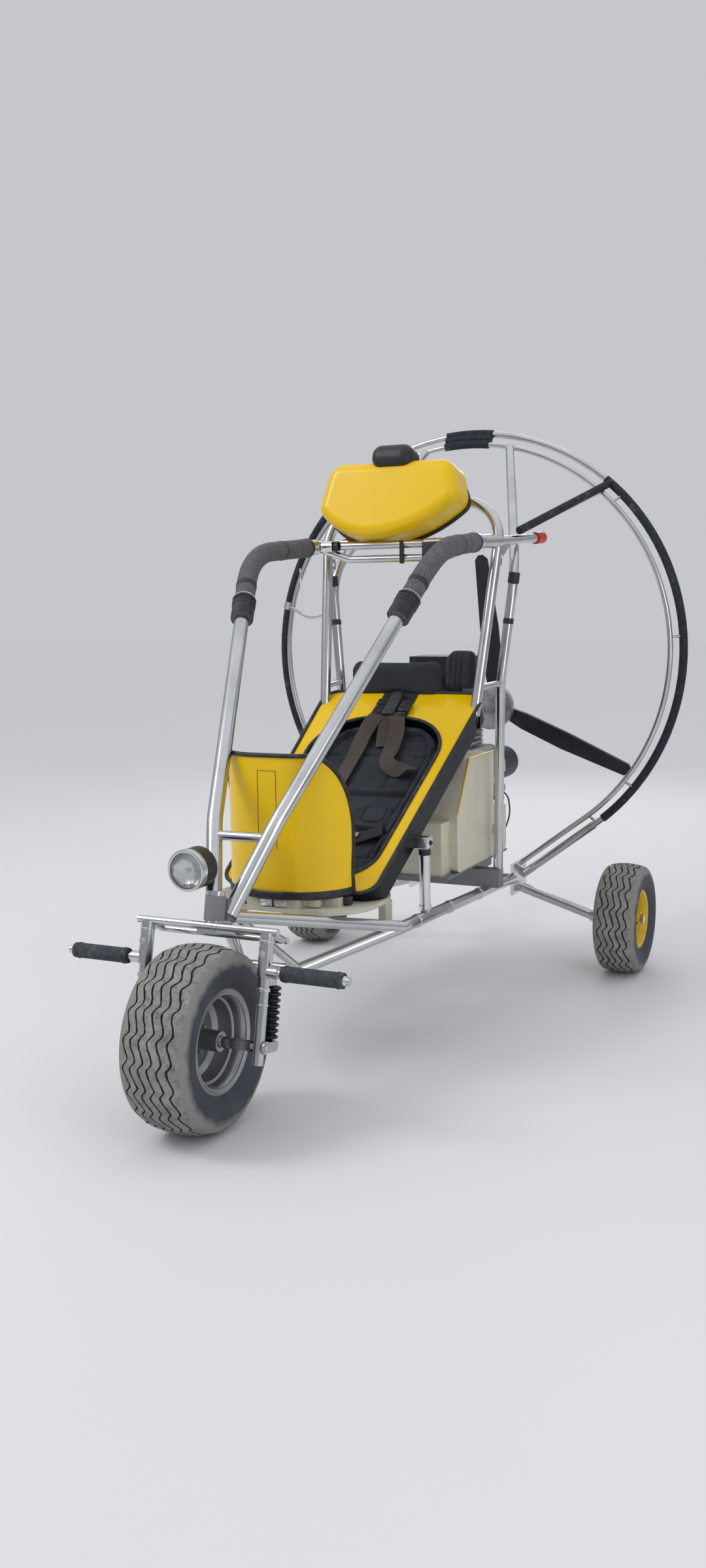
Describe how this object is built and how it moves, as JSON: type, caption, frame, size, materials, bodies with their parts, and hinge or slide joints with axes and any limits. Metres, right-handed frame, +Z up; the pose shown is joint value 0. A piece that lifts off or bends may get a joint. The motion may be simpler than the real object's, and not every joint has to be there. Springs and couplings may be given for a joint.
{
  "type": "paramotor trike",
  "caption": "Paramotor trike with a steered nosewheel, a leaning seat in a tube frame, and an engine with a pusher propeller behind a ring guard.",
  "frame": {"origin": "on the floor, under the middle of the bounding box", "axes": "+Z up, the front points to -Y, +X is the left side of the trike"},
  "size_m": [1.363, 2.1519, 1.6474],
  "materials": {
    "tyre": "matte",
    "rim_grey": "satin",
    "rim_yellow": "gloss",
    "tube": "satin",
    "frame_grey": "satin",
    "plate": "satin",
    "spring": "matte",
    "foam": "matte",
    "ring_foam": "matte",
    "red_cap": "gloss",
    "yellow_body": "gloss",
    "cushion": "matte",
    "pad": "matte",
    "webbing": "matte",
    "tray": "satin",
    "tank": "satin",
    "casting": "satin",
    "dark_plastic": "satin",
    "dark_metal": "matte",
    "cable": "satin",
    "blade": "gloss",
    "lens": "gloss"
  },
  "bodies": {
    "frame": {"ring_rear": "tube", "ring_front": "tube", "ring_covers": "ring_foam", "ring_stays": "tube", "lower_rails": "tube", "engine_frame": "frame_grey", "junction_plates": "plate", "masts": "tube", "steering_head": "frame_grey", "roll_bar": "tube", "rear_lamps": "red_cap", "hoops": "tube", "hoop_grips": "foam", "cross_tubes": "tube", "front_frame": "tube", "seat_shell": "yellow_body", "seat_cushion": "cushion", "seat_supports": "tray", "seat_belts": "webbing", "back_pad": "pad", "nose_cowl": "yellow_body", "fuel_tank": "tank", "engine_block": "casting", "engine_cover": "dark_plastic", "exhaust": "dark_metal", "carburettor": "casting", "throttle_cable": "cable", "top_container": "yellow_body", "container_cap": "dark_plastic", "headlamp_body": "dark_plastic", "headlamp_lens": "lens", "rear_axles": "tube"},
    "fork": {"fork_crown": "tube", "fork_legs": "tube", "fork_springs": "spring", "front_axle": "tube", "peg_grips": "foam"},
    "front_wheel": {"front_tyre": "tyre", "front_rim": "rim_grey"},
    "rear_wheel_left": {"rear_tyre_left": "tyre", "rear_rim_left": "rim_yellow"},
    "rear_wheel_right": {"rear_tyre_right": "tyre", "rear_rim_right": "rim_yellow"},
    "propeller": {"propeller_hub": "casting", "propeller_blades": "blade"}
  },
  "joints": [
    {"name": "steering", "type": "hinge", "parent": "frame", "child": "fork", "pos_m": [0, -0.79571, 0.43193], "axis": [0, 0.2079, 0.9781], "range_deg": [-30, 30]},
    {"name": "front_wheel_spin", "type": "hinge", "parent": "fork", "child": "front_wheel", "pos_m": [0, -0.873, 0.203], "axis": [1, 0, 0], "continuous": true},
    {"name": "rear_left_spin", "type": "hinge", "parent": "frame", "child": "rear_wheel_left", "pos_m": [0.523, 0.717, 0.165], "axis": [1, 0, 0], "continuous": true},
    {"name": "rear_right_spin", "type": "hinge", "parent": "frame", "child": "rear_wheel_right", "pos_m": [-0.523, 0.717, 0.165], "axis": [1, 0, 0], "continuous": true},
    {"name": "propeller_spin", "type": "hinge", "parent": "frame", "child": "propeller", "pos_m": [0, 1.027, 0.775], "axis": [0, 1, 0], "continuous": true}
  ]
}
